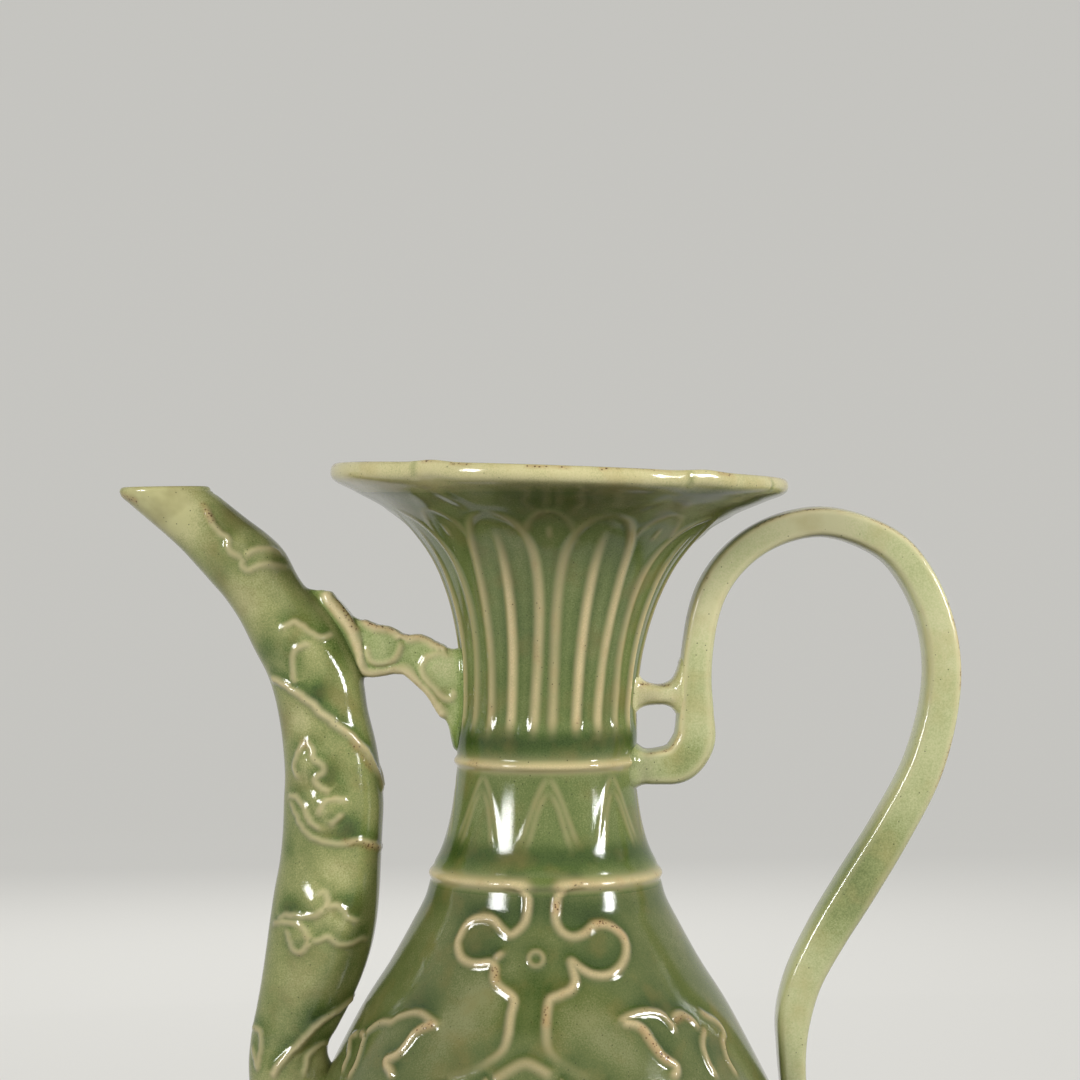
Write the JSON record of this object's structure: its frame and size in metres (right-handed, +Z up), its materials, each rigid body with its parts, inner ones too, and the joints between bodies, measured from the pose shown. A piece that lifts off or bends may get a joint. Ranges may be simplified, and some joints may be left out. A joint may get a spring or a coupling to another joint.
{
  "type": "celadon ewer",
  "caption": "Pear-shaped stoneware ewer with a lobed trumpet mouth, long curved spout held by a cloud strut, and a looping strap handle, in green celadon glaze.",
  "frame": {"origin": "on the table under the foot ring, on the axis of the belly", "axes": "+Z up through the neck, +X from the belly towards the handle (the spout points along -X), -Y towards the front of the vessel"},
  "size_m": [0.2397, 0.1638, 0.3036],
  "materials": {
    "fired_foot": "glazed outside, bare red-fired stoneware where it stands",
    "celadon_body": "glossy celadon glaze, deep green where pooled, buff on raised lines",
    "celadon_neck": "glossy celadon glaze, deep green where pooled, buff on raised lines",
    "celadon_rim": "glossy celadon glaze worn thin to a buff lip",
    "celadon_spout": "glossy celadon glaze, deep green where pooled, buff on raised lines",
    "celadon_handle": "glossy celadon glaze, thin and buff along the edges"
  },
  "bodies": {
    "root": {"foot_ring": "fired_foot", "lower_body": "celadon_body", "upper_body": "celadon_body", "lower_neck_band": "celadon_neck", "neck_collar": "celadon_neck", "upper_neck_band": "celadon_neck", "trumpet_neck": "celadon_neck", "mouth_rim": "celadon_rim", "spout_left_half": "celadon_spout", "spout_right_half": "celadon_spout", "cloud_strut": "celadon_spout", "handle_strap": "celadon_handle", "handle_bar": "celadon_handle"}
  },
  "joints": []
}
